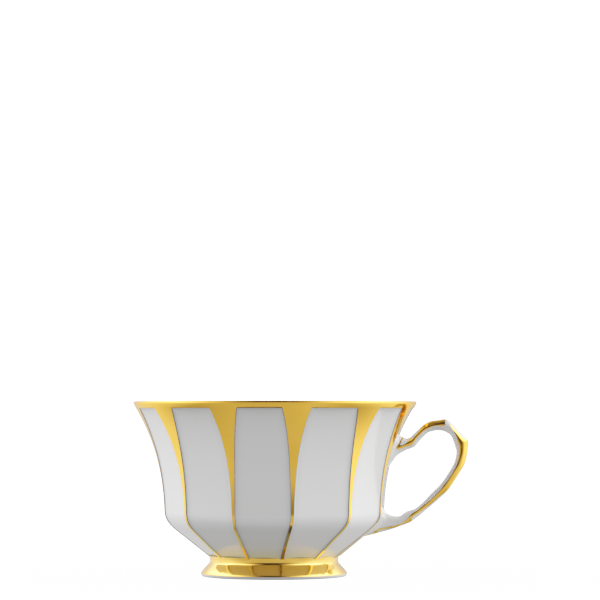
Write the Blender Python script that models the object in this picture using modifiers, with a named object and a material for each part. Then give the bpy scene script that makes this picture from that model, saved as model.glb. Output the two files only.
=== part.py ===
"""Footed porcelain teacup with twelve flat panels, gilded corners and an ear-shaped handle.

Metres, +Z up. The foot stands on z = 0 and the handle points along +X. The origin is the
middle of the footprint's box, so the cup's own axis stands at x = CUP_AXIS_X.
"""
import math

import bmesh
import bpy
from mathutils import Vector

MM = 0.001

# Overall sizes
RIM_RADIUS = 50.0 * MM
CUP_HEIGHT = 61.5 * MM
HANDLE_REACH = 68.1 * MM
CUP_AXIS_X = (RIM_RADIUS - HANDLE_REACH) / 2

# Twelve-sided body
PANELS = 12
PANEL_HALF_ANGLE = math.pi / PANELS
PANEL_TOP = 59.1 * MM
SHOULDER_HEIGHT = 21.0 * MM
SHOULDER_RADIUS = 39.15 * MM
SHOULDER_BLEND = 4.0 * MM
FLARE_HEIGHT = 38.4 * MM
FLARE_LINEAR = 1.3 * MM
FLARE_CURVED = 9.05 * MM
FLARE_POWER = 2.4
SLOPE_HEIGHT = 9.9 * MM
SLOPE_RADIUS = 26.9 * MM
SLOPE_GRADE = 1.265

# Heights of the body's levels in millimetres: shared ones, and those below them on the body,
# on a corner's gilding and on the cutter that shapes the handle's seats
SHARED_LEVELS = (13.0, 16.0, 17.6, 19.0, 20.4, 22.0, 25.0, 30.0, 35.0, 40.0, 44.5, 48.5, 52.5,
                 56.0)
BODY_LOW_LEVELS = (6.9, 9.5)
STRIPE_LOW_LEVELS = (7.4, 10.0)
SEAT_LOW_LEVELS = (8.0,)
BOWL_LEVELS = (55.0, 50.0, 44.0, 38.0, 31.0, 25.0, 21.0, 17.5, 14.5)
POINTS_PER_PANEL = 7

# Wall and bowl
WALL = 2.3 * MM
WALL_TAPER = 0.6 * MM
SLOPE_WALL = 4.0 * MM
BOWL_FLOOR = 10.0 * MM
BOWL_BLEND = 6.0 * MM
BOWL_CORNER = 3.0 * MM

# Gilding: each film is a thin solid that lies in a shallow recess with a small gap under it
FILM = 0.3 * MM
GAP = 0.3 * MM
RECESS = FILM + GAP

# Gilded stripe on each corner: a fine line below the shoulder that widens to the rim
STRIPE_TOP = 58.8 * MM
STRIPE_LINE = 0.45 * MM
STRIPE_SPREAD = 4.55 * MM
STRIPE_START = 22.0 * MM
STRIPE_RISE = 37.2 * MM

# Foot
FOOT_TOP = 6.5 * MM
FOOT_WIDEST = 26.0 * MM
FOOT_GOLD_BOTTOM = 1.0 * MM
FOOT_WAIST = (
    (22.8 * MM, FOOT_TOP),
    (22.8 * MM, 5.9 * MM),
    (23.2 * MM, 5.1 * MM),
    (24.0 * MM, 4.0 * MM),
    (24.9 * MM, 2.8 * MM),
    (25.7 * MM, 1.8 * MM),
    (FOOT_WIDEST, FOOT_GOLD_BOTTOM),
)

ROUND_STEPS = 48

# Handle stations from the upper root to the lower root, in millimetres from the cup's axis
# and from the table: outer edge x, z; inner edge x, z; place of the side ridge between the
# inner edge (0) and the outer edge (1); half the width at that ridge.
HANDLE_STATIONS = (
    (39.5, 52.0, 35.5, 34.5, 0.56, 3.6),
    (43.2, 50.1, 39.0, 37.4, 0.56, 3.5),
    (44.8, 49.2, 40.9, 39.4, 0.56, 3.2),
    (46.3, 48.5, 43.1, 42.3, 0.57, 3.0),
    (47.1, 48.6, 46.0, 44.2, 0.53, 2.9),
    (48.0, 49.1, 49.2, 45.5, 0.56, 2.9),
    (48.9, 50.0, 51.1, 47.6, 0.60, 2.9),
    (51.9, 52.8, 53.8, 50.3, 0.55, 3.0),
    (54.6, 54.4, 55.7, 51.0, 0.52, 3.0),
    (57.6, 54.9, 57.6, 51.3, 0.56, 3.1),
    (60.9, 55.0, 59.8, 50.9, 0.58, 3.1),
    (64.4, 51.5, 61.9, 49.5, 0.57, 3.1),
    (66.5, 49.4, 62.9, 47.3, 0.52, 3.0),
    (68.0, 47.8, 63.5, 45.6, 0.49, 3.0),
    (68.0, 45.2, 63.9, 44.2, 0.48, 2.9),
    (67.6, 42.3, 63.8, 42.6, 0.46, 2.9),
    (66.7, 39.2, 63.2, 40.1, 0.43, 2.8),
    (65.2, 36.7, 61.9, 37.7, 0.43, 2.8),
    (63.1, 33.4, 60.2, 35.0, 0.42, 2.7),
    (60.8, 30.1, 58.1, 32.2, 0.42, 2.7),
    (57.6, 27.1, 55.4, 29.5, 0.48, 2.6),
    (54.6, 24.5, 52.5, 26.5, 0.45, 2.6),
    (51.4, 21.8, 49.9, 24.2, 0.42, 2.6),
    (49.5, 20.4, 47.8, 23.3, 0.49, 2.6),
    (48.3, 19.4, 46.4, 22.9, 0.54, 2.6),
    (46.6, 18.5, 45.2, 22.0, 0.66, 2.6),
    (44.3, 17.7, 43.6, 21.2, 0.76, 2.7),
    (41.6, 16.7, 41.3, 21.4, 0.78, 2.8),
    (39.0, 15.9, 39.6, 22.3, 0.78, 3.0),
    (35.5, 15.0, 37.9, 24.4, 0.84, 3.3),
    (31.5, 14.0, 36.0, 27.0, 0.84, 3.5),
    (27.5, 12.9, 33.5, 29.0, 0.84, 3.6),
)
STEPS_BETWEEN_STATIONS = 2

# Section of the handle: how far out its shoulder and crown lie and how wide they are, as
# shares of the way between edges or ridge and crest, and of the half width
SHOULDER_SHARE = 0.12
SHOULDER_WIDTH = 0.62
CROWN_SHARE = 0.72
CROWN_WIDTH = 0.55
RIDGE_RECESS = 0.8 * MM
CREST_RECESS = 0.7 * MM
SEAT_GAP = 0.35 * MM

# Gilded stretches of the handle, as places along the list of stations
THUMB_GOLD = (7.1, 9.9)
SPINE_GOLD = (13.1, 19.0)
KNOT_GOLD = (23.7, 24.3)
UPPER_LINE = (2.6, 6.9)
LOWER_LINE = (19.3, 23.4)
ROOT_LINE = (24.6, 28.4)
RECESS_LEAD = 0.12
LEVEL_MARGINS = (0.18, 0.1)

PORCELAIN = ("porcelain", (0.88, 0.88, 0.87), 0.08, 0.0)
GOLD = ("gold", (0.83, 0.60, 0.22), 0.22, 1.0)


# ---------------------------------------------------------------- scene and materials

def clear_scene():
    """Remove every object and return the collection for the parts and the one for cutters."""
    for thing in list(bpy.data.objects):
        bpy.data.objects.remove(thing, do_unlink=True)
    parts = bpy.data.collections.new("teacup")
    cutters = bpy.data.collections.new("cutters")
    bpy.context.scene.collection.children.link(parts)
    bpy.context.scene.collection.children.link(cutters)
    return parts, cutters


def make_material(node_name, finish):
    """A Principled material of its own for one piece."""
    kind, colour, roughness, metallic = finish
    material = bpy.data.materials.new(f"{node_name}_{kind}")
    material.use_nodes = True
    shader = material.node_tree.nodes["Principled BSDF"]
    shader.inputs["Base Color"].default_value = (*colour, 1.0)
    shader.inputs["Roughness"].default_value = roughness
    shader.inputs["Metallic"].default_value = metallic
    return material


def add_object(name, mesh, collection, axis, finish=None):
    """Put a mesh in the scene as a child of the cup's axis."""
    piece = bpy.data.objects.new(name, mesh)
    collection.objects.link(piece)
    piece.parent = axis
    if finish:
        mesh.materials.append(make_material(name, finish))
    return piece


def smooth(mesh):
    """Smooth shading that keeps real corners crisp."""
    mesh.shade_smooth()
    mesh.set_sharp_from_angle(angle=math.radians(12))


# ---------------------------------------------------------------- shape building

def loft_mesh(name, rings):
    """Skin rings of equal length and cap both ends."""
    work = bmesh.new()
    rows = [[work.verts.new(point) for point in ring] for ring in rings]
    for low, high in zip(rows, rows[1:]):
        for here in range(len(low)):
            after = (here + 1) % len(low)
            work.faces.new((low[here], low[after], high[after], high[here]))
    work.faces.new(rows[0])
    work.faces.new(rows[-1])
    bmesh.ops.recalc_face_normals(work, faces=work.faces)
    mesh = bpy.data.meshes.new(name)
    work.to_mesh(mesh)
    work.free()
    smooth(mesh)
    return mesh


def turned_object(name, outline, collection, axis, finish):
    """A ring turned from a closed outline of (radius, height) points, outer side downwards."""
    work = bmesh.new()
    corners = [work.verts.new((radius, 0.0, height)) for radius, height in outline]
    for here in range(len(corners)):
        work.edges.new((corners[here], corners[(here + 1) % len(corners)]))
    mesh = bpy.data.meshes.new(name)
    work.to_mesh(mesh)
    work.free()
    piece = add_object(name, mesh, collection, axis, finish)
    screw = piece.modifiers.new("turn", "SCREW")
    screw.angle = 2 * math.pi
    screw.steps = ROUND_STEPS
    screw.render_steps = ROUND_STEPS
    screw.use_merge_vertices = True
    screw.merge_threshold = 0.00001
    screw.use_smooth_shade = True
    return piece


def soft_min(first, second, blend):
    """The smaller of two values, with the corner where they meet rounded over blend."""
    overlap = max(blend - abs(first - second), 0.0) / blend
    return min(first, second) - overlap * overlap * blend / 4


# ---------------------------------------------------------------- body

def corner_radius(height):
    """Radius of the body's corners: a sloping base, a shoulder and a flare to the rim."""
    rise = max(height - SHOULDER_HEIGHT, 0.0) / FLARE_HEIGHT
    flare = SHOULDER_RADIUS + FLARE_LINEAR * rise + FLARE_CURVED * rise ** FLARE_POWER
    slope = SLOPE_RADIUS + SLOPE_GRADE * (height - SLOPE_HEIGHT)
    return soft_min(flare, slope, SHOULDER_BLEND)


def slant(height):
    """How much longer a horizontal inset is than one square to the sloping wall."""
    step = 0.5 * MM
    grade = (corner_radius(height + step) - corner_radius(height - step)) / (2 * step)
    return math.hypot(1.0, grade)


def stripe_half_width(height):
    """Half the width of the gilded stripe, which spreads ever faster towards the rim."""
    rise = max(height - STRIPE_START, 0.0) / STRIPE_RISE
    return STRIPE_LINE + STRIPE_SPREAD * rise ** (1.8 + 1.2 * rise)


def panel_distance(height):
    """Distance of a flat panel from the axis, so that it meets the round corner strips."""
    radius = corner_radius(height)
    strip = stripe_half_width(height) / radius
    return radius * math.cos(PANEL_HALF_ANGLE - strip)


def polar(radius, angle, height):
    return Vector((radius * math.cos(angle), radius * math.sin(angle), height))


def body_ring(height):
    """One level of the outside: a recess for the stripe on each corner, flats between."""
    radius = corner_radius(height)
    half = (stripe_half_width(height) + GAP) / radius
    floor = radius - RECESS * slant(height)
    flat = radius * math.cos(PANEL_HALF_ANGLE - half)
    ring = []
    for panel in range(PANELS):
        corner = (2 * panel + 1) * PANEL_HALF_ANGLE
        ring.append(polar(radius, corner - half, height))
        for angle in (-half, 0.0, half):
            ring.append(polar(floor, corner + angle, height))
        ring.append(polar(radius, corner + half, height))
        for share in (-1 / 3, 1 / 3):
            off_centre = share * (PANEL_HALF_ANGLE - half)
            centre = corner + PANEL_HALF_ANGLE
            ring.append(polar(flat / math.cos(off_centre), centre + off_centre, height))
    return ring


def even_round_ring(radius, height):
    """A round level with evenly spaced points, one body ring's worth of them."""
    count = POINTS_PER_PANEL * PANELS
    first = PANEL_HALF_ANGLE - 2 * 2 * math.pi / count
    return [polar(radius, first + i * 2 * math.pi / count, height) for i in range(count)]


def bowl_radius(height):
    """Radius of the round bowl inside the panelled wall."""
    rise = max(height - SHOULDER_HEIGHT, 0.0) / FLARE_HEIGHT
    upright = panel_distance(height) - WALL + WALL_TAPER * rise
    slope = (SLOPE_RADIUS + SLOPE_GRADE * (height - SLOPE_HEIGHT)) * math.cos(PANEL_HALF_ANGLE)
    return soft_min(upright, slope - SLOPE_WALL, BOWL_BLEND)


def make_body(parts, axis):
    """The panelled bowl: outside levels upwards, over the lip, then down inside."""
    rings = [body_ring(level * MM) for level in BODY_LOW_LEVELS + SHARED_LEVELS]
    rings.append(body_ring(PANEL_TOP))
    lip = (
        (RIM_RADIUS - 1.4 * MM, PANEL_TOP),
        (RIM_RADIUS - RECESS, CUP_HEIGHT - 1.1 * MM),
        (RIM_RADIUS - 1.0 * MM, CUP_HEIGHT - RECESS),
        (RIM_RADIUS - 1.6 * MM, CUP_HEIGHT - RECESS),
        (RIM_RADIUS - 2.1 * MM, CUP_HEIGHT - 1.1 * MM),
        (RIM_RADIUS - 2.3 * MM, PANEL_TOP),
    )
    rings += [even_round_ring(radius, height) for radius, height in lip]
    rings.append(even_round_ring(bowl_radius(PANEL_TOP), PANEL_TOP))
    for level in BOWL_LEVELS:
        rings.append(even_round_ring(bowl_radius(level * MM), level * MM))
    corner = bowl_radius(BOWL_FLOOR + BOWL_CORNER)
    for degrees in (20, 45, 70, 90):
        turn = math.radians(degrees)
        inward = BOWL_CORNER * 1.4 * (1 - math.cos(turn))
        height = BOWL_FLOOR + BOWL_CORNER * (1 - math.sin(turn))
        rings.append(even_round_ring(corner - inward, height))
    return add_object("cup_body", loft_mesh("cup_body", rings), parts, axis, PORCELAIN)


def make_stripe(number, parts, axis):
    """The gilding on one corner, a curved sliver that follows the wall."""
    corner = (2 * number - 1) * PANEL_HALF_ANGLE
    levels = [level * MM for level in STRIPE_LOW_LEVELS + SHARED_LEVELS] + [STRIPE_TOP]
    rings = []
    for height in levels:
        radius = corner_radius(height)
        half = stripe_half_width(height) / radius
        back = radius - FILM * slant(height)
        ring = [polar(radius, corner + share * half, height) for share in (-1, 0, 1)]
        ring += [polar(back, corner + share * half, height) for share in (1, 0, -1)]
        rings.append(ring)
    name = f"corner_gold_{number:02d}"
    return add_object(name, loft_mesh(name, rings), parts, axis, GOLD)


def make_rim_gold(parts, axis):
    """The gilding over the lip, outside, on top and a little way inside."""
    outline = (
        (RIM_RADIUS - 0.6 * MM, CUP_HEIGHT),
        (RIM_RADIUS - 0.2 * MM, CUP_HEIGHT - 0.25 * MM),
        (RIM_RADIUS, CUP_HEIGHT - 0.8 * MM),
        (RIM_RADIUS - 0.4 * MM, PANEL_TOP + GAP),
        (RIM_RADIUS - 0.4 * MM - FILM, PANEL_TOP + GAP),
        (RIM_RADIUS - FILM, CUP_HEIGHT - 0.95 * MM),
        (RIM_RADIUS - 0.8 * MM, CUP_HEIGHT - FILM),
        (RIM_RADIUS - 1.8 * MM, CUP_HEIGHT - FILM),
        (RIM_RADIUS - 2.4 * MM, CUP_HEIGHT - 0.95 * MM),
        (RIM_RADIUS - 2.6 * MM, PANEL_TOP + GAP),
        (RIM_RADIUS - 2.6 * MM - FILM, PANEL_TOP + GAP),
        (RIM_RADIUS - 2.4 * MM - FILM, CUP_HEIGHT - 0.8 * MM),
        (RIM_RADIUS - 2.4 * MM, CUP_HEIGHT - 0.25 * MM),
        (RIM_RADIUS - 2.0 * MM, CUP_HEIGHT),
    )
    return turned_object("rim_gold", outline, parts, axis, GOLD)


# ---------------------------------------------------------------- foot

def make_foot(parts, axis):
    """The waisted foot ring, cut back under its gilding, with a flat ring to stand on."""
    outline = [(radius - RECESS, height - GAP / 2) for radius, height in FOOT_WAIST]
    outline[0] = (FOOT_WAIST[0][0] - RECESS, FOOT_TOP)
    outline[-1] = (FOOT_WIDEST - RECESS, FOOT_GOLD_BOTTOM - GAP)
    outline += [
        (FOOT_WIDEST, FOOT_GOLD_BOTTOM - GAP),
        (25.8 * MM, 0.3 * MM),
        (25.2 * MM, 0.0),
        (22.6 * MM, 0.0),
        (22.0 * MM, 0.5 * MM),
        (20.6 * MM, 3.5 * MM),
        (20.0 * MM, FOOT_TOP),
    ]
    return turned_object("foot_ring", outline, parts, axis, PORCELAIN)


def make_foot_gold(parts, axis):
    """The gilding around the foot."""
    outline = list(FOOT_WAIST)
    outline += [(radius - FILM, height) for radius, height in reversed(FOOT_WAIST)]
    return turned_object("foot_gold", outline, parts, axis, GOLD)


# ---------------------------------------------------------------- handle

def catmull(before, start, end, after, share):
    """A smooth curve between two neighbouring values of a list."""
    pull = 0.5 * share
    return (
        start
        + pull * (end - before)
        + pull * share * (2 * before - 5 * start + 4 * end - after)
        + pull * share * share * (3 * start - before - 3 * end + after)
    )


def handle_station(place):
    """Outer point, inner point, ridge share and half width at any place along the handle."""
    last = len(HANDLE_STATIONS) - 1
    index = min(int(place), last - 1)
    share = place - index
    rows = [HANDLE_STATIONS[min(max(index + step, 0), last)] for step in (-1, 0, 1, 2)]
    values = [catmull(*numbers, share) for numbers in zip(*rows)]
    outer = Vector((values[0] * MM, 0.0, values[1] * MM))
    inner = Vector((values[2] * MM, 0.0, values[3] * MM))
    return outer, inner, values[4], values[5] * MM


def section_points(place, ridge_inset=0.0, crown_inset=0.0):
    """Half a lozenge section from the inner face over the ridge to the outer crest."""
    outer, inner, ridge, width = handle_station(place)
    across = outer - inner
    outward = across.normalized()
    crown = across.length - crown_inset
    ridge_depth = across.length * ridge
    return [
        inner,
        inner + SHOULDER_SHARE * across + Vector((0, SHOULDER_WIDTH * width, 0)),
        inner + outward * ridge_depth + Vector((0, width - ridge_inset, 0)),
        inner + outward * (ridge_depth + CROWN_SHARE * (crown - ridge_depth))
        + Vector((0, CROWN_WIDTH * (width - 0.7 * crown_inset), 0)),
        inner + outward * crown,
    ]


def mirrored(point):
    return Vector((point.x, -point.y, point.z))


def is_gilded(place):
    """True where gilding covers the whole outer face."""
    return any(start <= place <= end for start, end in (THUMB_GOLD, SPINE_GOLD, KNOT_GOLD))


def handle_places():
    """Places of the handle's levels, with a close pair at each end of a gilded stretch."""
    count = (len(HANDLE_STATIONS) - 1) * STEPS_BETWEEN_STATIONS
    places = [step / STEPS_BETWEEN_STATIONS for step in range(count + 1)]
    wide, narrow = LEVEL_MARGINS
    for start, end in (THUMB_GOLD, SPINE_GOLD, KNOT_GOLD):
        places = [p for p in places if abs(p - start) > wide and abs(p - end) > wide]
        places += [start - wide, start - narrow, end + narrow, end + wide]
    return sorted(places)


def handle_ring(place):
    """One closed level of the porcelain handle."""
    gilded = any(is_gilded(place + lead) for lead in (-RECESS_LEAD, 0.0, RECESS_LEAD))
    half = section_points(place, RIDGE_RECESS, CREST_RECESS if gilded else 0.0)
    return half + [mirrored(point) for point in reversed(half[1:4])]


def make_handle(parts, cutters, axis):
    """The porcelain handle, cut off square where it meets the panelled wall."""
    rings = [handle_ring(place) for place in handle_places()]
    handle = add_object("handle", loft_mesh("handle", rings), parts, axis, PORCELAIN)
    seat = []
    for height in [level * MM for level in SEAT_LOW_LEVELS + SHARED_LEVELS]:
        grow = SEAT_GAP * slant(height)
        flat = panel_distance(height) + grow
        edge = flat / math.cos(PANEL_HALF_ANGLE)
        angles = [(2 * panel + 1) * PANEL_HALF_ANGLE for panel in range(PANELS)]
        seat.append([polar(edge, angle, height) for angle in angles])
    cutter = add_object("handle_seat", loft_mesh("handle_seat", seat), cutters, axis)
    cutter.hide_render = True
    cutter.display_type = "WIRE"
    cut = handle.modifiers.new("seat", "BOOLEAN")
    cut.operation = "DIFFERENCE"
    cut.solver = "EXACT"
    cut.object = cutter
    return handle


def stretch_places(stretch):
    """Places of the levels along one gilded stretch."""
    start, end = stretch
    count = max(2, round((end - start) * STEPS_BETWEEN_STATIONS))
    return [start + (end - start) * step / count for step in range(count + 1)]


def make_cap_gold(name, stretch, parts, axis):
    """Gilding over the whole outer face of the handle, from ridge to ridge."""
    rings = []
    for place in stretch_places(stretch):
        top = section_points(place)[2:]
        outer, inner, _, _ = handle_station(place)
        sink = (inner - outer).normalized() * FILM
        back = [point + sink for point in top]
        back[0] -= Vector((0, FILM, 0))
        back[1] -= Vector((0, 0.5 * FILM, 0))
        front = top + [mirrored(point) for point in reversed(top[:2])]
        behind = back + [mirrored(point) for point in reversed(back[:2])]
        rings.append(front + list(reversed(behind)))
    return add_object(name, loft_mesh(name, rings), parts, axis, GOLD)


def make_line_gold(name, stretch, side, parts, axis):
    """A gilded line along one ridge of the handle."""
    rings = []
    for place in stretch_places(stretch):
        _, below, ridge, above, _ = section_points(place)
        front = [ridge.lerp(below, 0.15), ridge, ridge.lerp(above, 0.15)]
        back = [point - Vector((0, FILM, 0)) for point in front]
        ring = front + list(reversed(back))
        rings.append([Vector((point.x, side * point.y, point.z)) for point in ring])
    return add_object(name, loft_mesh(name, rings), parts, axis, GOLD)


def make_handle_gold(parts, axis):
    """All the gilding of the handle."""
    make_cap_gold("handle_gold_thumb", THUMB_GOLD, parts, axis)
    make_cap_gold("handle_gold_spine", SPINE_GOLD, parts, axis)
    make_cap_gold("handle_gold_knot", KNOT_GOLD, parts, axis)
    lines = (("upper", UPPER_LINE), ("lower", LOWER_LINE), ("root", ROOT_LINE))
    for place_name, stretch in lines:
        for side_name, side in (("left", 1), ("right", -1)):
            name = f"handle_gold_{place_name}_{side_name}"
            make_line_gold(name, stretch, side, parts, axis)


def main():
    parts, cutters = clear_scene()
    axis = bpy.data.objects.new("cup_axis", None)
    axis.location.x = CUP_AXIS_X
    parts.objects.link(axis)
    make_body(parts, axis)
    make_rim_gold(parts, axis)
    for number in range(1, PANELS + 1):
        make_stripe(number, parts, axis)
    make_foot(parts, axis)
    make_foot_gold(parts, axis)
    make_handle(parts, cutters, axis)
    make_handle_gold(parts, axis)
    bpy.context.view_layer.update()


main()
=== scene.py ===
"""Looks of the footed porcelain teacup: panelled bowl, gilding, foot, handle, studio and camera.

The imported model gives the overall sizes. Everything is in metres with +Z up; lengths are
written in millimetres and multiplied by MM. The cup's own axis stands at x = AXIS_X.
"""

import math

import bmesh
import bpy
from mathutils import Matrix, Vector


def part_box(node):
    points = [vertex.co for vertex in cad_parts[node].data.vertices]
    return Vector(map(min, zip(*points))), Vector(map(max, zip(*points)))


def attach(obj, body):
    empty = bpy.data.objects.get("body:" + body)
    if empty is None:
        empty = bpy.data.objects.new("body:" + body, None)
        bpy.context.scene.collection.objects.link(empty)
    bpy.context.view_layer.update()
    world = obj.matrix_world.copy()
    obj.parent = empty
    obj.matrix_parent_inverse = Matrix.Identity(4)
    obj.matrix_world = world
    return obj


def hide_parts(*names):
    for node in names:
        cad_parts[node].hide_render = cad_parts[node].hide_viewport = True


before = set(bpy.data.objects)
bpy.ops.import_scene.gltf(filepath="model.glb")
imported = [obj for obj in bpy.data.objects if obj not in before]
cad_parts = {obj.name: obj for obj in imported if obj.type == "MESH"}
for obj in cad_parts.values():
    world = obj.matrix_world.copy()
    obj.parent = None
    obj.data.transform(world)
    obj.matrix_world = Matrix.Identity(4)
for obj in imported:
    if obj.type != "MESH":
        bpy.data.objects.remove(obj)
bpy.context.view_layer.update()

MM = 0.001
rim_low, rim_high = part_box("rim_gold")
AXIS_X = (rim_low.x + rim_high.x) / 2
RIM_RADIUS = (rim_high.y - rim_low.y) / 2
CUP_HEIGHT = rim_high.z
FOOT_WIDEST = (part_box("foot_gold")[1].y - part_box("foot_gold")[0].y) / 2
FOOT_GOLD_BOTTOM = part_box("foot_gold")[0].z
BODY_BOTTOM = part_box("cup_body")[0].z

# Twelve-sided body: a flare above the shoulder and a straight slope below it
PANELS = 12
PANEL_HALF_ANGLE = math.pi / PANELS
PANEL_TOP = CUP_HEIGHT - 2.4 * MM
SHOULDER_HEIGHT = 21.0 * MM
SHOULDER_RADIUS = 39.15 * MM
SHOULDER_BLEND = 4.0 * MM
FLARE_HEIGHT = 38.4 * MM
FLARE_LINEAR = 1.3 * MM
FLARE_CURVED = 8.8 * MM
FLARE_POWER = 2.4
SLOPE_HEIGHT = 9.9 * MM
SLOPE_RADIUS = 26.9 * MM
SLOPE_GRADE = 1.265
LEVEL_STEP = 0.6 * MM

# Sunken panels, and the distances of their columns and levels from the gilded border
PANEL_DEPTH = 0.3 * MM
PANEL_FILLET = 1.0 * MM
BORDER_STEPS = (0.12 * MM, 0.3 * MM, 0.55 * MM, 0.9 * MM, 1.4 * MM, 2.0 * MM)
# Columns of faces on the step wall beside each stripe, which carry the painted shade
EDGE_SHADE_COLUMNS = 2
PANEL_COLUMNS = 7
STRIPE_COLUMNS = 6
COLUMNS_PER_PANEL = STRIPE_COLUMNS + 1 + 2 * len(BORDER_STEPS) + PANEL_COLUMNS

# The mesh holds its distance to the gilded border in millimetres: this much off the panels,
# and the painted shade beside the border fades out up to the reach
FAR_FROM_BORDER = 20.0
BORDER_SHADE_REACH = 3.0

# Gilded stripe on each corner: a fine line below the shoulder that widens to the rim
STRIPE_LINE = 0.45 * MM
STRIPE_SPREAD = 4.55 * MM
STRIPE_START = 22.0 * MM
STRIPE_RISE = 37.2 * MM
STRIPE_POWERS = (1.8, 3.0)

# Ribs and foot stand a little out of true: how far each rib is off its even place and how
# far all lean at the foot, in degrees, and how far the foot stands off the axis
RIB_DRIFT = (0.0, -1.0, 0.6, 0.8, -0.7, 1.0, 0.0, -1.5, -0.7, -0.8, 1.5, 0.0)
RIB_LEAN = -2.6
FOOT_DRIFT = -0.35 * MM

# Rim band, lip and round bowl inside
LIP_RADIUS = 0.6 * MM
LIP_WALL = 2.75 * MM
LIP_STEPS = 8
BAND_STEPS = 5
LEDGE = 0.03 * MM
WALL = 2.3 * MM
WALL_TAPER = 0.6 * MM
SLOPE_WALL = 4.0 * MM
BOWL_FLOOR = 10.0 * MM
BOWL_BLEND = 6.0 * MM
BOWL_CORNER = 3.0 * MM
BOWL_CORNER_STRETCH = 1.4
BOWL_CORNER_STEPS = 6
BOWL_STEPS = 60
BOWL_MIDDLE_RADIUS = 8.0 * MM
BOWL_MIDDLE_DIP = 0.1 * MM
GOLD_INSIDE = 2.0 * MM

# Shallow hollow under the body, inside the foot
HOLLOW_RADIUS = 19.0 * MM
HOLLOW_TOP_RADIUS = 16.0 * MM
HOLLOW_RISE = 0.6 * MM

# Edges sharper than this, in degrees, stay crisp
BODY_SHARP = 50
HANDLE_SHARP = 60

# Gilding is a film that stands this far proud of the glaze
FILM_RISE = 0.04 * MM
FILM_THICKNESS = 0.1 * MM

# Foot, from the bead under the body down to the edge of the gilding, and its white base
FOOT_WAIST = (
    (23.05 * MM, 7.3 * MM),
    (22.66 * MM, 6.2 * MM),
    (22.58 * MM, 5.5 * MM),
    (22.8 * MM, 4.85 * MM),
    (23.4 * MM, 4.1 * MM),
    (24.34 * MM, 3.1 * MM),
    (24.95 * MM, 2.4 * MM),
    (25.45 * MM, 1.75 * MM),
    (FOOT_WIDEST - 0.27 * MM, 1.3 * MM),
    (FOOT_WIDEST - 0.2 * MM, FOOT_GOLD_BOTTOM),
)
FOOT_BASE = (
    (25.6 * MM, 0.5 * MM),
    (25.45 * MM, 0.15 * MM),
    (25.2 * MM, 0.0),
    (22.6 * MM, 0.0),
    (22.0 * MM, 0.5 * MM),
    (20.6 * MM, 3.5 * MM),
    (20.0 * MM, 7.0 * MM),
)
ROUND_STEPS = 240
WAIST_STEPS = 5

# Handle stations from the upper root to the lower root, in millimetres from the cup's axis
# and from the table: outer edge x, z; inner edge x, z; share of the way from the inner edge to
# the outer edge at which the handle is widest; half the width there.
HANDLE_STATIONS = (
    (39.5, 52.0, 35.5, 34.5, 0.56, 3.6),
    (43.2, 50.1, 39.0, 37.4, 0.56, 3.5),
    (44.8, 49.2, 40.9, 39.4, 0.56, 3.2),
    (46.3, 48.5, 43.1, 42.3, 0.57, 3.0),
    (47.1, 48.6, 46.0, 44.2, 0.53, 2.9),
    (48.0, 49.1, 49.2, 45.5, 0.56, 2.9),
    (48.9, 50.0, 51.1, 47.6, 0.6, 2.9),
    (51.9, 52.8, 53.8, 50.3, 0.55, 3.0),
    (54.6, 54.4, 55.7, 51.0, 0.52, 3.0),
    (57.6, 54.9, 57.6, 51.3, 0.56, 3.1),
    (60.9, 55.0, 59.8, 50.9, 0.58, 3.1),
    (64.4, 51.5, 61.9, 49.5, 0.57, 3.1),
    (66.5, 49.4, 62.9, 47.3, 0.52, 3.0),
    (68.0, 47.8, 63.5, 45.6, 0.49, 3.0),
    (68.0, 45.2, 63.9, 44.2, 0.48, 2.9),
    (67.6, 42.3, 63.8, 42.6, 0.46, 2.9),
    (66.7, 39.2, 63.2, 40.1, 0.43, 2.8),
    (65.2, 36.7, 61.9, 37.7, 0.43, 2.8),
    (63.1, 33.4, 60.2, 35.0, 0.42, 2.7),
    (60.8, 30.1, 58.1, 32.2, 0.42, 2.7),
    (57.6, 27.1, 55.4, 29.5, 0.48, 2.6),
    (54.6, 24.5, 52.5, 26.5, 0.45, 2.6),
    (51.4, 21.8, 49.9, 24.2, 0.42, 2.6),
    (49.5, 20.4, 47.8, 23.3, 0.49, 2.6),
    (48.3, 19.4, 46.4, 22.9, 0.54, 2.6),
    (46.6, 18.5, 45.2, 22.0, 0.66, 2.6),
    (44.3, 17.7, 43.6, 21.2, 0.76, 2.7),
    (41.6, 16.7, 41.3, 21.4, 0.78, 2.8),
    (39.0, 15.9, 39.6, 22.3, 0.78, 3.0),
    (35.5, 15.0, 37.9, 24.4, 0.84, 3.3),
    (31.5, 14.0, 36.0, 27.0, 0.84, 3.5),
    (27.5, 12.9, 33.5, 29.0, 0.84, 3.6),
)
STEPS_PER_STATION = 8
SECTION_STEPS = 20
SEAT_DEPTH = 1.0 * MM
ROOT_FILLET = 1.2 * MM
ROOT_FLARE = 0.25

# Gilding on the handle, by place (the number of the station) and share of the way from the
# inner edge to the outer edge. Bands and the lines on the outer edge run along the handle:
# (place, first share, last share). Arms run across it: (share, first place, last place).
UPPER_BAND = (
    (1.85, 0.58, 0.66), (2.2, 0.53, 0.69), (2.5, 0.46, 0.66), (3.0, 0.41, 0.62),
    (3.5, 0.36, 0.59), (4.0, 0.31, 0.64), (4.25, 0.29, 0.76), (4.5, 0.27, 0.88),
    (5.0, 0.3, 0.86), (5.25, 0.35, 0.74), (5.5, 0.38, 0.69), (6.0, 0.43, 0.73),
    (6.5, 0.44, 0.79), (6.8, 0.42, 0.9), (7.05, 0.4, 1.0), (7.5, 0.4, 1.0), (8.0, 0.43, 1.0),
    (8.5, 0.46, 1.0), (9.0, 0.46, 1.0), (9.5, 0.4, 1.0), (9.85, 0.43, 1.0),
)
UPPER_ARM = (
    (0.66, 1.85, 2.45), (0.75, 2.0, 2.42), (0.88, 2.12, 2.42), (1.0, 2.2, 2.45),
)
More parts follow.
